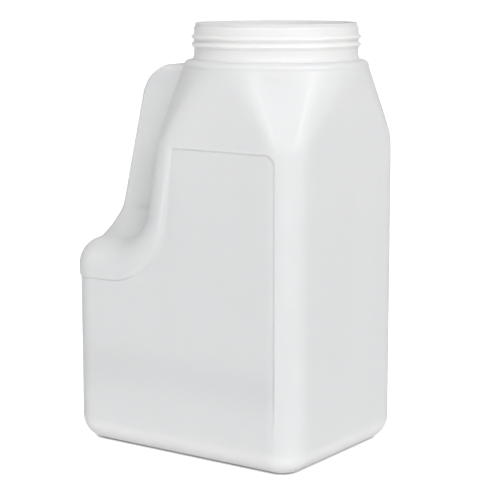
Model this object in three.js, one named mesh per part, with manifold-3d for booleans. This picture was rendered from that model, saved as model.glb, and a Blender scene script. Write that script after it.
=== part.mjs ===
// Wide-mouth oblong bottle with a pinch-grip handle: one blow-moulded piece of natural polyethylene.
// Millimetres, +Z up. It is modelled about the neck's axis and then centred on its footprint.
// The shape is symmetric about the mould's parting plane, y = 0. The handle side is -X.
import * as THREE from 'three';
import { mergeVertices } from 'three/addons/utils/BufferGeometryUtils.js';
import Module from 'manifold-3d';

// Body: a box with rounded edges, whose upper left part is set back to leave room for the hand.
const HALF_DEPTH = 66.6;
const RIGHT_END = 56.8;
const LEFT_END = -125.2;
const EDGE_R = 19.4;
const BASE_EDGE_R = 16;
const LEDGE_Z = 140;
const WALL_FOOT_R = 22;
const WALL_LEAN = 0.162;
const WALL_T = 1.2;
const FLOOR_PUSH_UP = 2.5;

// Shoulder: it narrows from the body's rounded rectangle to the round collar under the neck.
const SHOULDER_Z = 209.3;
const SHOULDER_BREAK = 5;
const COLLAR_Z = 255.5;
const COLLAR_R = 60.4;
const COLLAR_TOP_Z = 259.8;
const COLLAR_EDGE_R = 3.8;
const FACET_FROM = 33.5;
const FACET_TO = 66;
const FACET_TO_AT_COLLAR = 73;
const FACET_EDGE = 0.15;
const LEFT_FACET = 0.55;

// Handle: an upright fin in the middle plane, blended into the ledge and the wall.
const FIN_HALF_T = 14;
const FIN_TOP_Z = 254.9;
const FIN_CORNER_R = 20;
const FIN_EDGE_R = 4.5;
const SPINE_X = -102.65;
const SPINE_Z = 233.6;
const SPINE_LEAN = 0.238;
const FIN_FOOT_R = 38;
const FIN_FOOT_Z = [130, 165];
const FIN_FOOT_LOW_Z = [112, 136];
const FIN_BLEND_R = 21;
const FIN_TOP_BLEND_R = 4;
const FIN_END_INSET = 3.5;
const END_BULGE = 1.5;

// Label panel: the wide faces and the left end are set in a little below the ledge's bulge.
const PANEL_DEPTH = 1.1;
const PANEL_LEFT_DEPTH = 1.9;
const PANEL_LEFT_INSET = 2.2;
const PANEL_TURN_R = 38;
const PANEL_TOP_Z = 205.1;
const PANEL_LOW_Z = 113.9;
const PANEL_RIGHT_X = 42.9;
const PANEL_CORNER_R = 7;
const PANEL_FADE_Z = [14, 64];

// Neck: a 110 mm screw finish with two turns of ridge.
const NECK_R = 53.5;
const MOUTH_R = 51.8;
const RIM_Z = 283.7;
const LIP_R = 52.7;
const BEAD_R = 54.1;
const THREAD_R = 55.3;
const THREAD_Z = [269.7, 274.6];

// Steps round half the bottle, from the handle's spine to the middle of the right end.
const AROUND = { spine: 2, fin: 5, wall: 4, edge: 7, band: 2, face: 3, corner: 6, end: 2 };
const FOOT_STEPS = 4;

const soft = (v, k) => 0.5 * (v + Math.sqrt(v * v + k * k));
const mix = (a, b, t) => a + (b - a) * t;
const clamp = (v) => Math.min(Math.max(v, 0), 1);
const sinDeg = (deg) => Math.sin(THREE.MathUtils.degToRad(deg));
const cosDeg = (deg) => Math.cos(THREE.MathUtils.degToRad(deg));
function smooth(a, b, v) {
  const t = clamp((v - a) / (b - a));
  return t * t * (3 - 2 * t);
}

// Two surfaces meet on a rounded edge (their intersection) or in a rounded hollow (their union).
function roundAnd(a, b, r) {
  return Math.min(Math.max(a, b), -r) + Math.hypot(Math.max(a + r, 0), Math.max(b + r, 0));
}
function roundOr(a, b, r) {
  return Math.max(Math.min(a, b), r) - Math.hypot(Math.max(r - a, 0), Math.max(r - b, 0));
}

const shoulder = (z) => clamp(soft(z - SHOULDER_Z, SHOULDER_BREAK) / (COLLAR_Z - SHOULDER_Z));
const rightEnd = (z) => mix(RIGHT_END, COLLAR_R, shoulder(z));
const halfDepth = (z) => mix(HALF_DEPTH, COLLAR_R, shoulder(z));
const cornerR = (z) => mix(EDGE_R, COLLAR_R, shoulder(z));
const wallX = (z) => -rightEnd(z) - WALL_LEAN * soft(SHOULDER_Z - z, SHOULDER_BREAK);
const spineX = (z) => SPINE_X - SPINE_LEAN * (SPINE_Z - z);

const wall = (x, z) => (wallX(z) - x) / Math.hypot(1, WALL_LEAN);

// Distance to the body's side outline, without the handle.
function sideOutline(x, z) {
  const low = roundAnd(LEFT_END - x, z - LEDGE_Z, EDGE_R);
  return Math.max(x - rightEnd(z), roundOr(wall(x, z), low, WALL_FOOT_R));
}

// The shoulder's corners are pressed in to a nearly flat facet between two soft ridges, less on the left.
function facet(a, b, r, z) {
  if (a <= 0 || b <= 0) return 0;
  const t = shoulder(z);
  const to = mix(FACET_TO, FACET_TO_AT_COLLAR, t);
  const turned = THREE.MathUtils.radToDeg(Math.atan2(b, a));
  const across = (2 * (turned - FACET_FROM)) / (to - FACET_FROM) - 1;
  const press = soft(1 - across * across, FACET_EDGE) - soft(-1, FACET_EDGE);
  const sagitta = r * (1 - cosDeg((to - FACET_FROM) / 2));
  return smooth(206, 213, z) * (1 - 0.75 * smooth(0.72, 1, t)) * sagitta * press;
}

function body(x, y, z) {
  const side = sideOutline(x, z);
  const wide = Math.abs(y) - halfDepth(z);
  const r = cornerR(z);
  const press = mix(LEFT_FACET, 1, smooth(-20, 20, x));
  return roundAnd(side, wide, r) + press * facet(side + r, wide + r, r, z);
}

function fin(x, y, z) {
  const spine = (spineX(z) - x) / Math.hypot(1, SPINE_LEAN);
  const end = LEFT_END + FIN_END_INSET + 1.3 * soft(LEDGE_Z - 8 - z, 8) - x;
  const outline = roundAnd(Math.max(spine, end, x + 30), z - FIN_TOP_Z, FIN_CORNER_R);
  return roundAnd(outline, Math.abs(y) - FIN_HALF_T, FIN_EDGE_R);
}

// Distance to the whole outer form up to the collar: negative inside, zero on the surface.
function form(x, y, z) {
  const foot = mix(FIN_FOOT_R, FIN_BLEND_R, smooth(FIN_FOOT_Z[0], FIN_FOOT_Z[1], z));
  const low = mix(0.05, 1, smooth(FIN_FOOT_LOW_Z[0], FIN_FOOT_LOW_Z[1], z));
  const blend = mix(foot * low, FIN_TOP_BLEND_R, smooth(200, 246, z));
  const joined = roundOr(body(x, y, z), fin(x, y, z), blend);
  const ended = roundAnd(joined, LEFT_END - END_BULGE - x, END_BULGE);
  const topped = roundAnd(ended, z - COLLAR_TOP_Z, COLLAR_EDGE_R);
  return roundAnd(topped, -z, BASE_EDGE_R);
}

// How far a point of the outer skin is set in by the label panel and the recessed left end.
function panelDepth(p) {
  const inFromWall = wall(p.x, p.z) + EDGE_R + PANEL_LEFT_INSET;
  const region = roundOr(p.z - PANEL_LOW_Z, inFromWall, PANEL_TURN_R);
  const limit = roundAnd(p.z - PANEL_TOP_Z, p.x - PANEL_RIGHT_X, PANEL_CORNER_R);
  const softBand = smooth(116, 126, p.z) * (1 - smooth(-42, -34, p.x));
  const width = mix(0.6, 2.6, softBand);
  const step = 1 - smooth(-width, width, roundAnd(region, limit, 0.5));
  const onFace = smooth(LEFT_END + 2, LEFT_END + EDGE_R, p.x);
  const fade = mix(1, smooth(PANEL_FADE_Z[0], PANEL_FADE_Z[1], p.z), onFace);
  return mix(PANEL_DEPTH, PANEL_LEFT_DEPTH, softBand) * step * fade;
}

const GAP = 0.01;
function gradient(p) {
  const g = new THREE.Vector3(
    form(p.x + GAP, p.y, p.z) - form(p.x - GAP, p.y, p.z),
    form(p.x, p.y + GAP, p.z) - form(p.x, p.y - GAP, p.z),
    form(p.x, p.y, p.z + GAP) - form(p.x, p.y, p.z - GAP),
  );
  return g.divideScalar(2 * GAP);
}

// Moves a rough point onto the outer form.
function settle(rough) {
  const p = rough.clone();
  for (let step = 0; step < 12; step += 1) {
    const g = gradient(p);
    p.addScaledVector(g, (-0.9 * form(p.x, p.y, p.z)) / Math.max(g.lengthSq(), 0.2));
  }
  return p;
}

// Points of the near side: x, distance from the parting plane, z.
const near = (list) => list.map(([x, y, z]) => new THREE.Vector3(x, -y, z));
function line(a, b, steps) {
  return Array.from({ length: steps }, (_, n) => a.clone().lerp(b, n / steps));
}

// Reads a value off a bent line given by its corner points.
function along(stops, values, s) {
  let k = 1;
  while (k < stops.length - 1 && s > stops[k]) k += 1;
  return mix(values[k - 1], values[k], (s - stops[k - 1]) / (stops[k] - stops[k - 1]));
}

// A point on the turn from a to b round the corner q.
function turn(a, q, b, deg) {
  const p = q.clone();
  p.addScaledVector(a.clone().sub(q), 1 - sinDeg(deg));
  return p.addScaledVector(b.clone().sub(q), 1 - cosDeg(deg));
}

// The rounding between the wall and the wide face: a turn, then straight on where the face reaches farther.
function leftEdge(start, q, end) {
  const reach = Math.min(1, start.distanceTo(q) / end.distanceTo(q));
  const turnEnd = q.clone().lerp(end, reach);
  const low = smooth(0, 22, turnEnd.distanceTo(end));
  const share = 1 - 0.42 * low;
  return Array.from({ length: AROUND.edge }, (_, n) => {
    const s = n / AROUND.edge;
    const t = Math.min(s / share, 1);
    const deg = mix(along([0, 2 / 7, 5 / 7, 1], [0, FACET_FROM, FACET_TO, 90], t), t * 90, low);
    const p = turn(start, q, turnEnd, deg);
    return s > share ? p.addScaledVector(end.clone().sub(turnEnd), (s - share) / (1 - share)) : p;
  });
}

function rightEdge(start, q, end, degrees) {
  const stops = degrees.map((_, k) => k / (degrees.length - 1));
  return Array.from({ length: AROUND.corner }, (_, n) => (
    turn(start, q, end, along(stops, degrees, n / AROUND.corner))
  ));
}

// Half a ring from eleven key points: spine, fin edge, fin foot, wall end, edge corner, edge end,
// inside the panel, panel's right, right corner, right end's edge, right end's middle.
const AT_PANEL = [0, 14.5, 21, 38, 56, 73, 90];
const AT_SHOULDER = [0, 90 - FACET_TO, 34.8, 45.7, 90 - FACET_FROM, 73, 90];
function halfRing(keys, degrees = AT_PANEL) {
  const [spine, finEdge, finFoot, wallEnd, q, edgeEnd, inPanel, panelRight, rightQ, rightEdgeEnd, middle] = keys;
  return [
    ...line(spine, finEdge, AROUND.spine),
    ...line(finEdge, finFoot, AROUND.fin),
    ...line(finFoot, wallEnd, AROUND.wall),
    ...leftEdge(wallEnd, q, edgeEnd),
    ...line(edgeEnd, inPanel, AROUND.band),
    ...line(inPanel, panelRight, AROUND.face),
    ...rightEdge(panelRight, rightQ, rightEdgeEnd, degrees),
    ...line(rightEdgeEnd, middle, AROUND.end),
    middle.clone(),
  ];
}

// A ring below the ledge's rounding, or across it. The fin's three points are given with it.
function ledgeRing(finKeys, wallEnd, edgeEnd, rightZ) {
  const y = HALF_DEPTH;
  return halfRing(near([
    ...finKeys,
    [wallEnd[0], y - 20, wallEnd[1]], [wallEnd[0], y, wallEnd[1]], [edgeEnd[0], y, edgeEnd[1]],
    [edgeEnd[0] + 7, y, edgeEnd[1]], [RIGHT_END - 20, y, rightZ], [RIGHT_END, y, rightZ],
    [RIGHT_END, y - 20, rightZ], [RIGHT_END, 0, rightZ],
  ]));
}
function lowRing(z) {
  const finKeys = [[LEFT_END, 0, z], [LEFT_END, 14, z], [LEFT_END, 30, z]];
  return ledgeRing(finKeys, [LEFT_END, z], [-80, z], z);
}

// A ring above the ledge.
function upperRing(z, reach, degrees) {
  const w = wallX(z);
  const r = rightEnd(z);
  const y = halfDepth(z);
  const c = cornerR(z);
  return halfRing(near([
    [spineX(z), 0, z], [spineX(z) + 1, 13, z], [w - reach, 20, z],
    [w, y - c, z], [w, y, z], [w + c, y, z], [w + c + 5.5, y, z],
    [r - c, y, z], [r, y, z], [r, y - c, z], [r, 0, z],
  ]), degrees);
}

// A round ring. Its points gather where the shoulder's ridges arrive.
function roundRing(z, r) {
  const part = (steps, stops, degrees) => (
    Array.from({ length: steps }, (_, n) => along(stops, degrees, n / steps))
  );
  const bearings = [
    ...part(AROUND.spine, [0, 1], [0, 8]),
    ...part(AROUND.fin, [0, 1], [8, 15]),
    ...part(AROUND.wall, [0, 1], [15, 22]),
    ...part(AROUND.edge, [0, 2 / 7, 5 / 7, 1], [22, FACET_FROM, FACET_TO_AT_COLLAR, 82]),
    ...part(AROUND.band, [0, 1], [82, 84]),
    ...part(AROUND.face, [0, 1], [84, 98]),
    ...part(AROUND.corner, [0, 1 / 6, 4 / 6, 1], [98, 180 - FACET_TO_AT_COLLAR, 180 - FACET_FROM, 158]),
    ...part(AROUND.end, [0, 1], [158, 180]),
    180,
  ];
  return near(bearings.map((deg) => [-r * cosDeg(deg), r * sinDeg(deg), z]));
}

// A ring of the shoulder, with the fin's three points given.
const SHOULDER_FROM = 212;
const shoulderFoot = upperRing(SHOULDER_FROM, 6, AT_SHOULDER);
const shoulderTop = roundRing(COLLAR_Z, COLLAR_R);
function shoulderRing(z, finKeys) {
  const t = (z - SHOULDER_FROM) / (COLLAR_Z - SHOULDER_FROM);
  const ring = shoulderFoot.map((p, i) => p.clone().lerp(shoulderTop[i], t));
  const [spine, finEdge, finFoot] = near(finKeys);
  const handle = AROUND.spine + AROUND.fin + AROUND.wall;
  return [
    ...line(spine, finEdge, AROUND.spine),
    ...line(finEdge, finFoot, AROUND.fin),
    ...line(finFoot, ring[handle], AROUND.wall),
    ...ring.slice(handle),
  ];
}

// The rings from the foot to the collar, with the steps up to the next one. They are rough here.
const turnX = LEFT_END + 20;
const turnZ = LEDGE_Z - 20;
const keyRings = [
  [lowRing(BASE_EDGE_R), 1],
  [lowRing(23), 1],
  [lowRing(30), 1],
  [lowRing(37), 2],
  [lowRing(PANEL_LOW_Z - 0.7), 1],
  [lowRing(PANEL_LOW_Z + 0.7), 1],
  [ledgeRing(
    [[LEFT_END, 0, turnZ], [LEFT_END, 13, turnZ], [LEFT_END, 28, turnZ]],
    [LEFT_END, turnZ],
    [-66.5, 119.5],
    120,
  ), 2],
  [ledgeRing(
    [[LEFT_END, 0, 130], [LEFT_END, 14, 130], [LEFT_END + 4, 32, 133]],
    [turnX - 20 * cosDeg(45), turnZ + 20 * sinDeg(45)],
    [-58, 127.5],
    128,
  ), 2],
  [ledgeRing(
    [[LEFT_END + 1, 0, 138], [LEFT_END + 3, 15, 138], [LEFT_END + 17, 34, 139.5]],
    [turnX, LEDGE_Z],
    [-52, 136],
    136,
  ), 2],
  [ledgeRing(
    [[spineX(149), 0, 149], [spineX(149) + 2, 15, 149], [-93, 30, 143]],
    [-80, 141.5],
    [-46.5, 147],
    146,
  ), 3],
  [upperRing(164, 10), 2],
  [upperRing(PANEL_TOP_Z - 0.7, 6), 1],
  [upperRing(PANEL_TOP_Z + 0.7, 6), 2],
  [shoulderFoot, 3],
  [shoulderRing(228, [[spineX(228), 0, 228], [spineX(228) + 1, 13, 228], [-65, 19, 228]]), 3],
  [shoulderRing(243, [[-99, 0, 243], [-98, 13, 243], [-65, 18, 243]]), 2],
  [shoulderRing(249.5, [[-89, 0, 253], [-89, 12, 252], [-63.5, 15.5, 249]]), 2],
  [shoulderRing(253.5, [[-74, 0, FIN_TOP_Z], [-74, 10, FIN_TOP_Z], [-60.5, 15, 253.5]]), 3],
  [roundRing(257.4, COLLAR_R), 3],
  [roundRing(COLLAR_TOP_Z, COLLAR_R - 3.4), 1],
];

// The skin at a depth below the outer form, from the standing plane to the collar's top.
// The rings of the inner skin may be coarser, as it has no sharp features.
function skin(depth, coarseness) {
  const rings = [];
  keyRings.forEach(([ring, steps], k) => {
    const next = keyRings[k + 1];
    const count = next ? Math.ceil(steps / coarseness) : 1;
    for (let n = 0; n < count; n += 1) {
      rings.push(ring.map((p, i) => (next ? p.clone().lerp(next[0][i], n / count) : p.clone())));
    }
  });
  const settled = rings.map((ring) => ring.map((rough) => {
    const p = settle(rough);
    const normal = gradient(p).normalize();
    return p.addScaledVector(normal, -depth - panelDepth(p));
  }));
  const r = BASE_EDGE_R - depth;
  const fillet = Array.from({ length: FOOT_STEPS }, (_, n) => settled[0].map((p) => {
    const normal = gradient(p).setZ(0).normalize();
    const deg = (90 * n) / FOOT_STEPS;
    const q = p.clone().addScaledVector(normal, -r * (1 - sinDeg(deg)));
    return q.setZ(BASE_EDGE_R - r * cosDeg(deg));
  }));
  return [...fillet, ...settled].map((half) => {
    half[0].y = 0;
    half[half.length - 1].y = 0;
    const far = half.slice(1, -1).reverse().map((p) => new THREE.Vector3(p.x, -p.y, p.z));
    return [...half, ...far];
  });
}

const outer = skin(0, 1);
const inner = skin(WALL_T, 2).reverse();

// The neck's rings keep the bearings of the collar's points.
const collar = outer[outer.length - 1];
function neckRing([r, z]) {
  return collar.map((p) => new THREE.Vector3(p.x, p.y, 0).setLength(r).setZ(z));
}
const threads = THREAD_Z.flatMap((z) => (
  [[NECK_R, z - 1.7], [THREAD_R, z - 0.4], [THREAD_R, z + 0.4], [NECK_R, z + 1.7]]
));
const neckOutside = [[BEAD_R, COLLAR_TOP_Z], [BEAD_R, COLLAR_TOP_Z + 2], [NECK_R, COLLAR_TOP_Z + 3], ...threads,
  [NECK_R, RIM_Z - 2.4], [LIP_R, RIM_Z - 1.6], [LIP_R, RIM_Z - 0.5], [LIP_R - 0.4, RIM_Z]];
const neckInside = [[MOUTH_R + 0.3, RIM_Z], [MOUTH_R, RIM_Z - 0.5], [MOUTH_R, COLLAR_TOP_Z],
  [MOUTH_R + 2, COLLAR_TOP_Z - WALL_T]];
const neck = [...neckOutside, ...neckInside].map(neckRing);

// The floor is pushed up in the middle, so that the bottle stands on a flat rim.
const middleX = (LEFT_END + RIGHT_END) / 2;
function floorRing(ring, scale, z) {
  return ring.map((p) => new THREE.Vector3(mix(middleX, p.x, scale), p.y * scale, z));
}
const outsideFoot = outer[0];
const insideFoot = inner[inner.length - 1];
const underside = [[0.45, FLOOR_PUSH_UP], [0.78, FLOOR_PUSH_UP], [0.9, 0]];
const floorTop = [[0.9, 0], [0.78, FLOOR_PUSH_UP], [0.45, FLOOR_PUSH_UP]];
const rings = [
  ...underside.map(([scale, z]) => floorRing(outsideFoot, scale, z)),
  ...outer,
  ...neck,
  ...inner,
  ...floorTop.map(([scale, z]) => floorRing(insideFoot, scale, z + WALL_T)),
];

// Joins the rings into one closed shell, with a middle point to close each end.
function shell() {
  const n = rings[0].length;
  const positions = rings.flat().flatMap((p) => [p.x, p.y, p.z]);
  const below = rings.length * n;
  const above = below + 1;
  const lastRing = (rings.length - 1) * n;
  positions.push(middleX, 0, FLOOR_PUSH_UP, middleX, 0, FLOOR_PUSH_UP + WALL_T);
  const index = [];
  for (let i = 0; i < n; i += 1) {
    const j = (i + 1) % n;
    index.push(below, j, i, above, lastRing + i, lastRing + j);
    for (let k = 0; k < lastRing; k += n) {
      index.push(k + i, k + j, k + j + n, k + i, k + j + n, k + i + n);
    }
  }
  const geometry = new THREE.BufferGeometry();
  geometry.setAttribute('position', new THREE.Float32BufferAttribute(positions, 3));
  geometry.setIndex(index);
  return geometry;
}

const wasm = await Module();
wasm.setup();

// Makes sure that the shell is one closed solid, and centres it on its footprint.
function asSolid(geometry) {
  const merged = mergeVertices(geometry, 1e-4);
  const solid = new wasm.Manifold(new wasm.Mesh({
    numProp: 3,
    vertProperties: new Float32Array(merged.attributes.position.array),
    triVerts: new Uint32Array(merged.index.array),
  }));
  const mesh = solid.getMesh();
  const result = new THREE.BufferGeometry();
  result.setAttribute('position', new THREE.Float32BufferAttribute(mesh.vertProperties, 3));
  result.setIndex([...mesh.triVerts]);
  result.computeBoundingBox();
  const middle = result.boundingBox.getCenter(new THREE.Vector3());
  result.translate(-middle.x, 0, -result.boundingBox.min.z);
  return result;
}

const polyethylene = new THREE.MeshStandardMaterial({ color: 0xe8e7e6, roughness: 0.42, metalness: 0 });
const bottle = new THREE.Mesh(asSolid(shell()), polyethylene);
bottle.name = 'bottle';

const part = new THREE.Group();
part.add(bottle);
export default part;
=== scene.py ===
from math import cos, radians, sin
import bmesh
import bpy
import numpy as np
from mathutils import Matrix, Vector


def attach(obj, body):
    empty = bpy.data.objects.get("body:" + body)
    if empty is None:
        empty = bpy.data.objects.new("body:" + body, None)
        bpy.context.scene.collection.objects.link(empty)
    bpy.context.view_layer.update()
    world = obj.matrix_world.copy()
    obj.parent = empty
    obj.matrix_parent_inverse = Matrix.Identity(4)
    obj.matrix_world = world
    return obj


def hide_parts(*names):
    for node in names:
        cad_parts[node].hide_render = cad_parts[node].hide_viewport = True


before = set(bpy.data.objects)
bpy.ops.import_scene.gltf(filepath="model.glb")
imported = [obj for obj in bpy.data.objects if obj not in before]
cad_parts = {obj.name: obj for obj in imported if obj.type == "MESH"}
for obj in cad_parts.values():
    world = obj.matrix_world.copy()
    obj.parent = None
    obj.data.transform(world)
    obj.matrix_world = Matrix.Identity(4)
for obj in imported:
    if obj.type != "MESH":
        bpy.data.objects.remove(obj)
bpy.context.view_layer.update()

# Sizes in millimetres about the neck's axis, and angles in degrees. The handle side is -X, and y = 0 is the
# mould's parting plane.
MM = 0.001
NECK_AXIS_X = 33.15

HALF_DEPTH, RIGHT_END, LEFT_END = 66.6, 56.8, -125.2
EDGE_R, BASE_EDGE_R = 19.4, 16.0
LEDGE_Z, WALL_FOOT_R, WALL_LEAN = 140.0, 22.0, 0.162
WALL_T, FLOOR_PUSH_UP = 1.2, 2.5

SHOULDER_Z, SHOULDER_BREAK = 209.3, 5.0
COLLAR_Z, COLLAR_R, COLLAR_TOP_Z, COLLAR_EDGE_R = 255.5, 60.4, 259.8, 3.8
FACET_FROM, FACET_TO, FACET_TO_AT_COLLAR, FACET_EDGE, LEFT_FACET = 33.5, 66.0, 73.0, 0.15, 0.55
FACET_STARTS_Z, FACET_GROWS_X, FACET_FADE, FACET_FADE_SHARE = (206.0, 213.0), (-20.0, 20.0), 0.75, (0.72, 1.0)

FIN_HALF_T, FIN_TOP_Z, FIN_CORNER_R, FIN_EDGE_R = 14.0, 254.9, 20.0, 4.5
SPINE_X, SPINE_Z, SPINE_LEAN = -102.65, 233.6, 0.238
FIN_FOOT_R, FIN_FOOT_Z, FIN_FOOT_LOW_Z, FIN_FOOT_LOW_SHARE = 38.0, (130.0, 165.0), (112.0, 136.0), 0.05
FIN_BLEND_R, FIN_TOP_BLEND_R, FIN_TOP_BLEND_Z = 21.0, 4.0, (200.0, 246.0)
FIN_INNER_X, FIN_END_INSET, FIN_END_Z, FIN_END_LEAN, FIN_END_SOFT = -30.0, 3.5, 132.0, 1.3, 8.0
END_BULGE = 1.5

PANEL_DEPTH, PANEL_TOP_Z, PANEL_LOW_Z = 1.1, 205.1, 113.9
PANEL_LEFT_DEPTH, PANEL_LEFT_INSET, PANEL_TURN_R = 1.9, 2.2, 38.0
PANEL_RIGHT_X, PANEL_CORNER_R, PANEL_FADE_Z = 42.9, 7.0, (14.0, 64.0)
STEP_HALF_WIDTH, STEP_R, FACE_STARTS_X = 0.6, 0.5, (LEFT_END + 2, LEFT_END + EDGE_R)
SOFT_STEP_HALF_WIDTH, SOFT_STEP_Z, SOFT_STEP_X = 2.6, (116.0, 126.0), (-42.0, -34.0)

NECK_R, MOUTH_R, RIM_Z = 53.5, 51.8, 283.7
LIP_R, BEAD_R, THREAD_R = 52.7, 54.1, 55.3
THREAD_Z, THREAD_HALF_HEIGHT = (269.7, 274.6), 2.4


def soft(v, k):
    """Zero for a negative value and the value for a positive one, with a soft bend of size k between."""
    return 0.5 * (v + np.sqrt(v * v + k * k))


def mix(a, b, t):
    return a + (b - a) * t


def smooth(a, b, v):
    """Rises smoothly from 0 at a to 1 at b."""
    t = np.clip((v - a) / (b - a), 0, 1)
    return t * t * (3 - 2 * t)


def round_and(a, b, r):
    """Two surfaces meet on a rounded edge."""
    return np.minimum(np.maximum(a, b), -r) + np.hypot(np.maximum(a + r, 0), np.maximum(b + r, 0))


def round_or(a, b, r):
    """Two surfaces meet in a rounded hollow."""
    return np.maximum(np.minimum(a, b), r) - np.hypot(np.maximum(r - a, 0), np.maximum(r - b, 0))


def shoulder(z):
    """How far up the shoulder a height is: 0 on the body and 1 at the collar."""
    return np.clip(soft(z - SHOULDER_Z, SHOULDER_BREAK) / (COLLAR_Z - SHOULDER_Z), 0, 1)


def right_end(z):
    return mix(RIGHT_END, COLLAR_R, shoulder(z))


def half_depth(z):
    return mix(HALF_DEPTH, COLLAR_R, shoulder(z))


def corner_r(z):
    return mix(EDGE_R, COLLAR_R, shoulder(z))


def wall_x(z):
    return -right_end(z) - WALL_LEAN * soft(SHOULDER_Z - z, SHOULDER_BREAK)


def spine_x(z):
    return SPINE_X - SPINE_LEAN * (SPINE_Z - z)


def wall(x, z):
    """Distance to the wall that leans behind the handle."""
    return (wall_x(z) - x) / np.hypot(1, WALL_LEAN)


def side_outline(x, z):
    """Distance to the body's outline seen from the front, without the handle."""
    low = round_and(LEFT_END - x, z - LEDGE_Z, EDGE_R)
    return np.maximum(x - right_end(z), round_or(wall(x, z), low, WALL_FOOT_R))


def facet(a, b, r, z):
    """The shoulder's corners are pressed in to nearly flat facets between soft ridges, less on the left."""
    t = shoulder(z)
    to = mix(FACET_TO, FACET_TO_AT_COLLAR, t)
    turned = np.degrees(np.arctan2(np.maximum(b, 0), np.maximum(a, 1e-9)))
    across = 2 * (turned - FACET_FROM) / (to - FACET_FROM) - 1
    press = soft(1 - across * across, FACET_EDGE) - soft(-1.0, FACET_EDGE)
    sagitta = r * (1 - np.cos(np.radians((to - FACET_FROM) / 2)))
    depth = smooth(*FACET_STARTS_Z, z) * (1 - FACET_FADE * smooth(*FACET_FADE_SHARE, t)) * sagitta * press
    return np.where((a > 0) & (b > 0), depth, 0)


def body(x, y, z):
    """The body and shoulder without the handle."""
    side, wide, r = side_outline(x, z), np.abs(y) - half_depth(z), corner_r(z)
    press = mix(LEFT_FACET, 1, smooth(*FACET_GROWS_X, x))
    return round_and(side, wide, r) + press * facet(side + r, wide + r, r, z)


def fin(x, y, z):
    """The handle. Its end draws in below the ledge, where the body hides it."""
    spine = (spine_x(z) - x) / np.hypot(1, SPINE_LEAN)
    end = LEFT_END + FIN_END_INSET + FIN_END_LEAN * soft(FIN_END_Z - z, FIN_END_SOFT) - x
    ends = np.maximum(np.maximum(spine, end), x - FIN_INNER_X)
    outline = round_and(ends, z - FIN_TOP_Z, FIN_CORNER_R)
    return round_and(outline, np.abs(y) - FIN_HALF_T, FIN_EDGE_R)


def form(x, y, z):
    """Distance to the whole outer form up to the collar: negative inside, zero on the surface."""
    foot = mix(FIN_FOOT_R, FIN_BLEND_R, smooth(*FIN_FOOT_Z, z))
    low = mix(FIN_FOOT_LOW_SHARE, 1, smooth(*FIN_FOOT_LOW_Z, z))
    blend = mix(foot * low, FIN_TOP_BLEND_R, smooth(*FIN_TOP_BLEND_Z, z))
    d = round_or(body(x, y, z), fin(x, y, z), blend)
    d = round_and(d, LEFT_END - END_BULGE - x, END_BULGE)
    d = round_and(d, z - COLLAR_TOP_Z, COLLAR_EDGE_R)
    return round_and(d, -z, BASE_EDGE_R)


def panel_depth(p):
    """How far the label panel and the recessed left end set the skin in."""
    x, z = p[..., 0], p[..., 2]
    in_from_wall = wall(x, z) + EDGE_R + PANEL_LEFT_INSET
    region = round_or(z - PANEL_LOW_Z, in_from_wall, PANEL_TURN_R)
    limit = round_and(z - PANEL_TOP_Z, x - PANEL_RIGHT_X, PANEL_CORNER_R)
    soft_band = smooth(*SOFT_STEP_Z, z) * (1 - smooth(*SOFT_STEP_X, x))
    width = mix(STEP_HALF_WIDTH, SOFT_STEP_HALF_WIDTH, soft_band)
    step = 1 - smooth(-width, width, round_and(region, limit, STEP_R))
    on_face = smooth(*FACE_STARTS_X, x)
    fade = mix(1, smooth(*PANEL_FADE_Z, z), on_face)
    return mix(PANEL_DEPTH, PANEL_LEFT_DEPTH, soft_band) * step * fade


def gradient(p, gap=0.01):
    """Which way the distance to the outer form grows, by differences over a small gap."""
    x, y, z = p[..., 0], p[..., 1], p[..., 2]
    return np.stack([
        form(x + gap, y, z) - form(x - gap, y, z),
        form(x, y + gap, z) - form(x, y - gap, z),
        form(x, y, z + gap) - form(x, y, z - gap),
    ], -1) / (2 * gap)


def settle(p, steps=14, share=0.9, least_slope=0.2):
    """Moves rough points onto the outer form, a share of the way at each step."""
    for _ in range(steps):
        g = gradient(p)
        miss = form(p[..., 0], p[..., 1], p[..., 2])
        p = p - share * g * (miss / np.maximum((g * g).sum(-1), least_slope))[..., None]
    return p


def spread(*stops):
    """Shares of a stretch: stops are (share, steps up to the next one)."""
    out = []
    for (a, steps), (b, _) in zip(stops, stops[1:]):
        out += list(np.linspace(a, b, steps, endpoint=False))
    return np.array(out)


# Where the columns stand round half the bottle, from the handle's spine to the middle of the right end.
# Each stretch runs from 0 to 1, and its columns gather where the surface turns.
SPINE_COLUMNS = spread((0, 4), (0.62, 8), (1, 0))
FIN_COLUMNS = spread((0, 6), (0.1, 16), (1, 0))
WALL_COLUMNS = spread((0, 12), (1, 0))
EDGE_COLUMNS = spread((0, 28), (1, 0))
BAND_COLUMNS = spread((0, 8), (1, 0))
FACE_COLUMNS = spread((0, 16), (1, 0))
CORNER_COLUMNS = spread((0, 6), (1 / 6, 9), (2 / 6, 18), (1, 0))
END_COLUMNS = spread((0, 8), (1, 0))
HANDLE_COLUMNS = len(SPINE_COLUMNS) + len(FIN_COLUMNS) + len(WALL_COLUMNS)

# Rows of the rounding at the foot.
FOOT_STEPS = 10

# How the columns are dealt out over a rounding: shares of its columns, and the degrees turned there.
LEFT_TURN = ([0, 2 / 7, 5 / 7, 1], [0, FACET_FROM, FACET_TO, 90])
AT_PANEL = (np.linspace(0, 1, 7), [0, 14.5, 21, 38, 56, 73, 90])
AT_SHOULDER = (np.linspace(0, 1, 7), [0, 90 - FACET_TO, 34.8, 45.7, 90 - FACET_FROM, 73, 90])


def near(*points):
    """Points of the near side: x, distance from the parting plane, z."""
    return np.array([(x, -y, z) for x, y, z in points], float)


def line(a, b, shares):
    return a + (b - a) * shares[:, None]


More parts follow.
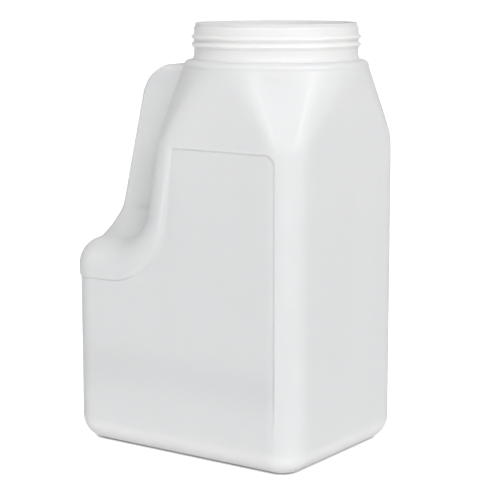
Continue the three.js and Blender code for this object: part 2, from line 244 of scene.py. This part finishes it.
def turn(a, q, b, degrees):
    """Points on the turn from a to b round the corner q."""
    phi = np.radians(degrees)[:, None]
    return q + (a - q) * (1 - np.sin(phi)) + (b - q) * (1 - np.cos(phi))


# Past the rounding a long straight stretch takes this share of the edge's columns.
LONG_FACE, LONG_FACE_SHARE = 22.0, 0.42


def left_edge(start, q, end):
    """The rounding between the wall and the wide face, then straight on where the face reaches farther."""
    reach = min(1, np.linalg.norm(start - q) / np.linalg.norm(end - q))
    turn_end = q + (end - q) * reach
    low = smooth(0, LONG_FACE, np.linalg.norm(end - turn_end))
    share = 1 - LONG_FACE_SHARE * low
    t = np.minimum(EDGE_COLUMNS / share, 1)
    degrees = mix(np.interp(t, *LEFT_TURN), t * 90, low)
    beyond = np.maximum(EDGE_COLUMNS - share, 0) / max(1 - share, 1e-9)
    return turn(start, q, turn_end, degrees) + (end - turn_end) * beyond[:, None]


def half_ring(keys, right_turn=AT_PANEL):
    """Half a ring from eleven key points: spine, fin edge, fin foot, wall end, edge corner, edge end,
    inside the panel, panel's right, right corner, right end's edge, right end's middle."""
    spine, fin_edge, fin_foot, wall_end, left_q, edge_end = keys[:6]
    in_panel, panel_right, right_q, right_edge, middle = keys[6:]
    return np.concatenate([
        line(spine, fin_edge, SPINE_COLUMNS),
        line(fin_edge, fin_foot, FIN_COLUMNS),
        line(fin_foot, wall_end, WALL_COLUMNS),
        left_edge(wall_end, left_q, edge_end),
        line(edge_end, in_panel, BAND_COLUMNS),
        line(in_panel, panel_right, FACE_COLUMNS),
        turn(panel_right, right_q, right_edge, np.interp(CORNER_COLUMNS, *right_turn)),
        line(right_edge, middle, END_COLUMNS),
        middle[None],
    ])


def ledge_ring(fin_keys, wall_end, edge_end, right_z):
    """A ring below the ledge's rounding, or across it."""
    y, r = HALF_DEPTH, RIGHT_END
    return half_ring(near(
        *fin_keys, (wall_end[0], y - 20, wall_end[1]), (wall_end[0], y, wall_end[1]),
        (edge_end[0], y, edge_end[1]), (edge_end[0] + 7, y, edge_end[1]),
        (r - 20, y, right_z), (r, y, right_z), (r, y - 20, right_z), (r, 0, right_z)))


def low_ring(z):
    """A level ring of the plain body."""
    return ledge_ring([(LEFT_END, 0, z), (LEFT_END, 14, z), (LEFT_END, 30, z)], (LEFT_END, z), (-80, z), z)


def upper_ring(z, reach, right_turn=AT_PANEL):
    """A ring above the ledge. The reach is how far the handle's foot stands from the wall."""
    w, r, y, c = wall_x(z), right_end(z), half_depth(z), corner_r(z)
    return half_ring(near(
        (spine_x(z), 0, z), (spine_x(z) + 1, 13, z), (w - reach, 20, z),
        (w, y - c, z), (w, y, z), (w + c, y, z), (w + c + 5.5, y, z),
        (r - c, y, z), (r, y, z), (r, y - c, z), (r, 0, z)), right_turn)


def round_ring(z, r):
    """A round ring. Its points gather where the shoulder's ridges arrive."""
    right_stops = ([0, 1 / 6, 4 / 6, 1], [98, 180 - FACET_TO_AT_COLLAR, 180 - FACET_FROM, 158])
    bearing = np.concatenate([
        8 * SPINE_COLUMNS,
        8 + 7 * FIN_COLUMNS,
        15 + 7 * WALL_COLUMNS,
        np.interp(EDGE_COLUMNS, LEFT_TURN[0], [22, FACET_FROM, FACET_TO_AT_COLLAR, 82]),
        82 + 2 * BAND_COLUMNS,
        84 + 14 * FACE_COLUMNS,
        np.interp(CORNER_COLUMNS, *right_stops),
        158 + 22 * END_COLUMNS,
        [180],
    ])
    phi = np.radians(bearing)
    return np.stack([-r * np.cos(phi), -r * np.sin(phi), np.full(len(phi), z)], -1)


SHOULDER_FROM = 212.0
shoulder_foot = upper_ring(SHOULDER_FROM, 6, AT_SHOULDER)
shoulder_top = round_ring(COLLAR_Z, COLLAR_R)


def shoulder_ring(z, *fin_keys):
    """A ring between the shoulder's foot and its round top, with the handle's three key points given."""
    ring = mix(shoulder_foot, shoulder_top, (z - SHOULDER_FROM) / (COLLAR_Z - SHOULDER_FROM))
    spine, fin_edge, fin_foot = near(*fin_keys)
    return np.concatenate([
        line(spine, fin_edge, SPINE_COLUMNS),
        line(fin_edge, fin_foot, FIN_COLUMNS),
        line(fin_foot, ring[HANDLE_COLUMNS], WALL_COLUMNS),
        ring[HANDLE_COLUMNS:],
    ])


# The middle of the ledge's rounding, roughly.
TURN_X, TURN_Z = LEFT_END + 20, LEDGE_Z - 20
# Rough rings from the foot to the collar, each with the steps up to the next one.
KEY_RINGS = [
    (low_ring(BASE_EDGE_R), 3),
    (low_ring(22), 6),
    (low_ring(37), 8),
    (low_ring(PANEL_LOW_Z - 1.2), 8),
    (low_ring(PANEL_LOW_Z + 1.2), 5),
    (ledge_ring([(LEFT_END, 0, TURN_Z), (LEFT_END, 13, TURN_Z), (LEFT_END, 28, TURN_Z)],
                (LEFT_END, TURN_Z), (-66.5, 119.5), 120), 10),
    (ledge_ring([(LEFT_END, 0, 130), (LEFT_END, 14, 130), (LEFT_END + 4, 32, 133)],
                (TURN_X - 20 * cos(radians(45)), TURN_Z + 20 * sin(radians(45))), (-58, 127.5), 128), 10),
    (ledge_ring([(LEFT_END + 1, 0, 138), (LEFT_END + 3, 15, 138), (LEFT_END + 17, 34, 139.5)],
                (TURN_X, LEDGE_Z), (-52, 136), 136), 12),
    (ledge_ring([(spine_x(149), 0, 149), (spine_x(149) + 2, 15, 149), (-93, 30, 143)],
                (-80, 141.5), (-46.5, 147), 146), 14),
    (upper_ring(164, 10), 12),
    (upper_ring(196, 7), 10),
    (upper_ring(PANEL_TOP_Z - 1.2, 6), 8),
    (upper_ring(PANEL_TOP_Z + 1.2, 6), 8),
    (shoulder_foot, 12),
    (shoulder_ring(228, (spine_x(228), 0, 228), (spine_x(228) + 1, 13, 228), (-65, 19, 228)), 12),
    (shoulder_ring(243, (-99, 0, 243), (-98, 13, 243), (-65, 18, 243)), 8),
    (shoulder_ring(249.5, (-89, 0, 253), (-89, 12, 252), (-63.5, 15.5, 249)), 8),
    (shoulder_ring(253.5, (-74, 0, FIN_TOP_Z), (-74, 10, FIN_TOP_Z), (-60.5, 15, 253.5)), 10),
    (round_ring(257.4, COLLAR_R), 8),
    (round_ring(COLLAR_TOP_Z, COLLAR_R - 3.4), 0),
]


def skin(depth, coarseness=1):
    """Half rings of the skin at a depth below the outer form, from the standing plane to the collar's top."""
    rough = []
    for (ring, steps), (above, _) in zip(KEY_RINGS, KEY_RINGS[1:]):
        count = -(-steps // coarseness)
        rough += [mix(ring, above, n / count) for n in range(count)]
    rough.append(KEY_RINGS[-1][0])
    rings = settle(np.array(rough))
    normals = gradient(rings)
    normals /= np.linalg.norm(normals, axis=-1, keepdims=True)
    rings = rings - normals * (depth + panel_depth(rings))[..., None]
    level = normals[0] * (1, 1, 0)
    level /= np.linalg.norm(level, axis=-1, keepdims=True)
    r = BASE_EDGE_R - depth
    fillet = []
    for phi in np.linspace(0, np.pi / 2, FOOT_STEPS // coarseness, endpoint=False):
        ring = rings[0] - level * r * (1 - sin(phi))
        ring[:, 2] = BASE_EDGE_R - r * cos(phi)
        fillet.append(ring)
    rings = np.concatenate([np.array(fillet), rings])
    rings[:, [0, -1], 1] = 0
    return rings


def neck_profile():
    """Radius and height of the neck's outside from the collar's top to the rim, then of its inside."""
    bead = [(BEAD_R + 0.8, 0), (BEAD_R + 0.25, 0.25), (BEAD_R, 0.9), (BEAD_R, 1.8)]
    bead += [(NECK_R + 0.2, 2.7), (NECK_R, 3.6)]
    outside = [(r, COLLAR_TOP_Z + rise) for r, rise in bead]
    for z in THREAD_Z:
        for phi in np.linspace(-np.pi, np.pi, 17):
            r = mix(NECK_R, THREAD_R, 0.5 + 0.5 * cos(phi))
            outside.append((r, z + THREAD_HALF_HEIGHT * phi / np.pi))
    for r, drop in [(NECK_R, 3.2), (NECK_R - 0.1, 2.6), (LIP_R, 2.1), (LIP_R, 1.4), (LIP_R, 0.7)]:
        outside.append((r, RIM_Z - drop))
    lip = (LIP_R + MOUTH_R) / 2
    half = (LIP_R - MOUTH_R) / 2
    for phi in np.linspace(0, np.pi, 9):
        outside.append((lip + half * cos(phi), RIM_Z - half + half * sin(phi)))
    inside = [(MOUTH_R, z) for z in np.linspace(RIM_Z - 1.5, COLLAR_TOP_Z + 0.6, 8)]
    inside += [(MOUTH_R + 0.3, COLLAR_TOP_Z - 0.6), (MOUTH_R + 1.6, COLLAR_TOP_Z - WALL_T)]
    return outside + inside


def half_sections():
    """All half rings of the bottle in order: under the floor, up the outside, down the inside, the floor."""
    outer, inner = skin(0), skin(WALL_T, coarseness=4)[::-1]
    bearing = np.arctan2(outer[-1, :, 1], outer[-1, :, 0])
    neck = []
    for r, z in neck_profile():
        neck.append(np.stack([r * np.cos(bearing), r * np.sin(bearing), np.full(len(bearing), z)], -1))
    neck = np.array(neck)
    neck[:, [0, -1], 1] = 0
    middle_x = (LEFT_END + RIGHT_END) / 2

    def floor_ring(ring, share, z):
        out = ring * (share, share, 0)
        return out + (middle_x * (1 - share), 0, z)

    # Each ring of the floor: its size as a share of the foot's, and its share of the push-up.
    floor_shares = ((0, 1), (0.35, 1), (0.74, 1), (0.8, 0.8), (0.84, 0.4), (0.89, 0.08), (0.93, 0))
    under = [floor_ring(outer[0], share, FLOOR_PUSH_UP * rise) for share, rise in floor_shares]
    above = []
    for share, rise in floor_shares[::-1]:
        above.append(floor_ring(inner[-1], share, WALL_T + FLOOR_PUSH_UP * rise))
    return np.concatenate([np.array(under), outer, neck, inner, np.array(above)])


def new_object(name, bm):
    """Makes a smooth object of the mesh and puts it in the scene."""
    mesh = bpy.data.meshes.new(name)
    bm.to_mesh(mesh)
    bm.free()
    obj = bpy.data.objects.new(name, mesh)
    bpy.context.scene.collection.objects.link(obj)
    mesh.shade_smooth()
    return obj


def make_bottle():
    """A grid is laid along the half sections, mirrored across the parting plane and closed at the floor."""
    sections = half_sections()
    rows, columns = sections.shape[:2]
    sections = sections + (NECK_AXIS_X, 0, 0)
    bm = bmesh.new()
    bmesh.ops.create_grid(bm, x_segments=columns - 1, y_segments=rows - 1, size=1)
    for v in bm.verts:
        column = round((v.co.x + 1) / 2 * (columns - 1))
        row = round((v.co.y + 1) / 2 * (rows - 1))
        v.co = Vector(sections[row, column]) * MM
    bmesh.ops.mirror(bm, geom=bm.verts[:] + bm.edges[:] + bm.faces[:], axis="Y", merge_dist=1e-6)
    bmesh.ops.remove_doubles(bm, verts=bm.verts[:], dist=2e-6)
    bmesh.ops.recalc_face_normals(bm, faces=bm.faces[:])
    return new_object("bottle_shell", bm)


def natural_polyethylene():
    """Milky blow-moulded plastic: a faint cloudiness, a fine orange-peel skin and a satin gloss."""
    mat = bpy.data.materials.new("natural_polyethylene")
    mat.use_nodes = True
    nodes, links = mat.node_tree.nodes, mat.node_tree.links
    shader = nodes["Principled BSDF"]
    shader.inputs["Subsurface Weight"].default_value = 1.0
    shader.inputs["Subsurface Radius"].default_value = (0.004, 0.0038, 0.0036)
    shader.inputs["Subsurface Scale"].default_value = 1.0
    shader.inputs["IOR"].default_value = 1.5
    place = nodes.new("ShaderNodeTexCoord")
    stretch = nodes.new("ShaderNodeMapping")
    stretch.inputs["Scale"].default_value = (1, 1, 0.4)
    links.new(place.outputs["Object"], stretch.inputs["Vector"])

    cloud = nodes.new("ShaderNodeTexNoise")
    cloud.inputs["Scale"].default_value = 22
    cloud.inputs["Detail"].default_value = 3
    links.new(stretch.outputs["Vector"], cloud.inputs["Vector"])
    tone = nodes.new("ShaderNodeMix")
    tone.data_type = "RGBA"
    tone.inputs["A"].default_value = (0.80, 0.795, 0.79, 1)
    tone.inputs["B"].default_value = (0.84, 0.835, 0.83, 1)
    links.new(cloud.outputs["Fac"], tone.inputs["Factor"])
    links.new(tone.outputs["Result"], shader.inputs["Base Color"])

    gloss = nodes.new("ShaderNodeMapRange")
    gloss.inputs["To Min"].default_value = 0.40
    gloss.inputs["To Max"].default_value = 0.50
    links.new(cloud.outputs["Fac"], gloss.inputs["Value"])
    links.new(gloss.outputs["Result"], shader.inputs["Roughness"])

    peel = nodes.new("ShaderNodeTexNoise")
    peel.inputs["Scale"].default_value = 700
    peel.inputs["Detail"].default_value = 2
    links.new(place.outputs["Object"], peel.inputs["Vector"])
    bump = nodes.new("ShaderNodeBump")
    bump.inputs["Strength"].default_value = 0.08
    bump.inputs["Distance"].default_value = 0.0002
    links.new(peel.outputs["Fac"], bump.inputs["Height"])
    links.new(bump.outputs["Normal"], shader.inputs["Normal"])
    return mat


bottle = make_bottle()
bottle.data.materials.append(natural_polyethylene())
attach(bottle, "root")
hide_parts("bottle")


def make_floor():
    """A wide white table. It glows for the camera, so that it shows as an even white, except at the foot."""
    bm = bmesh.new()
    bmesh.ops.create_grid(bm, x_segments=2, y_segments=2, size=40)
    floor = new_object("floor", bm)
    mat = bpy.data.materials.new("white_table")
    mat.use_nodes = True
    shader = mat.node_tree.nodes["Principled BSDF"]
    shader.inputs["Base Color"].default_value = (0.78, 0.78, 0.78, 1)
    shader.inputs["Roughness"].default_value = 0.9
    shader.inputs["Specular IOR Level"].default_value = 0.1
    shader.inputs["Emission Color"].default_value = (1, 1, 1, 1)
    nodes, links = mat.node_tree.nodes, mat.node_tree.links
    seen = nodes.new("ShaderNodeLightPath")
    glow = nodes.new("ShaderNodeMath")
    glow.operation = "MULTIPLY_ADD"
    glow.inputs[1].default_value = 0.65
    glow.inputs[2].default_value = 0.12
    links.new(seen.outputs["Is Camera Ray"], glow.inputs[0])
    open_floor = nodes.new("ShaderNodeAmbientOcclusion")
    open_floor.inputs["Distance"].default_value = 0.0022
    faded = nodes.new("ShaderNodeMath")
    faded.operation = "MULTIPLY"
    links.new(glow.outputs[0], faded.inputs[0])
    links.new(open_floor.outputs["AO"], faded.inputs[1])
    links.new(faded.outputs[0], shader.inputs["Emission Strength"])
    floor.data.materials.append(mat)
    return floor


make_floor()


def soft_light(name, azimuth, elevation, spread_degrees, strength, gloss_only=False):
    """A wide, distant studio light. Azimuth 0 stands in front of the wide face and 90 at the right end."""
    a, e = radians(azimuth), radians(elevation)
    out = Vector((sin(a) * cos(e), -cos(a) * cos(e), sin(e)))
    light = bpy.data.lights.new(name, "SUN")
    light.angle, light.energy = radians(spread_degrees), strength
    obj = bpy.data.objects.new(name, light)
    obj.rotation_euler = out.to_track_quat("Z", "Y").to_euler()
    obj.visible_glossy, obj.visible_diffuse = gloss_only, not gloss_only
    bpy.context.scene.collection.objects.link(obj)


soft_light("key_light", 45, 29, 30, 2.0)
soft_light("left_sheen", 5, 42, 24, 1.2, gloss_only=True)
soft_light("right_sheen", 80, 38, 24, 1.8, gloss_only=True)

world = bpy.data.worlds.new("white_room")
world.use_nodes = True
world.node_tree.nodes["Background"].inputs["Color"].default_value = (1, 1, 1, 1)
world.node_tree.nodes["Background"].inputs["Strength"].default_value = 0.49
bpy.context.scene.world = world
bpy.context.scene.view_settings.view_transform = "Standard"

# The photograph's viewpoint, in millimetres about the neck's axis, and the picture's three directions.
CAMERA_AT = (593.70, -875.72, 315.31)
CAMERA_RIGHT = (0.81858733, 0.57438087, -0.00118688)
CAMERA_UP = (-0.0963236, 0.13931351, 0.98555239)
CAMERA_BACK = (0.56624778, -0.80664637, 0.16936671)


def make_camera():
    """A long lens, for a square picture."""
    camera = bpy.data.cameras.new("camera")
    camera.sensor_width, camera.lens = 36, 116.196
    camera.clip_end = 100
    obj = bpy.data.objects.new("camera", camera)
    turned = Matrix((CAMERA_RIGHT, CAMERA_UP, CAMERA_BACK)).transposed().to_4x4()
    place = (Vector(CAMERA_AT) + Vector((NECK_AXIS_X, 0, 0))) * MM
    obj.matrix_world = Matrix.Translation(place) @ turned
    bpy.context.scene.collection.objects.link(obj)
    bpy.context.scene.camera = obj


make_camera()
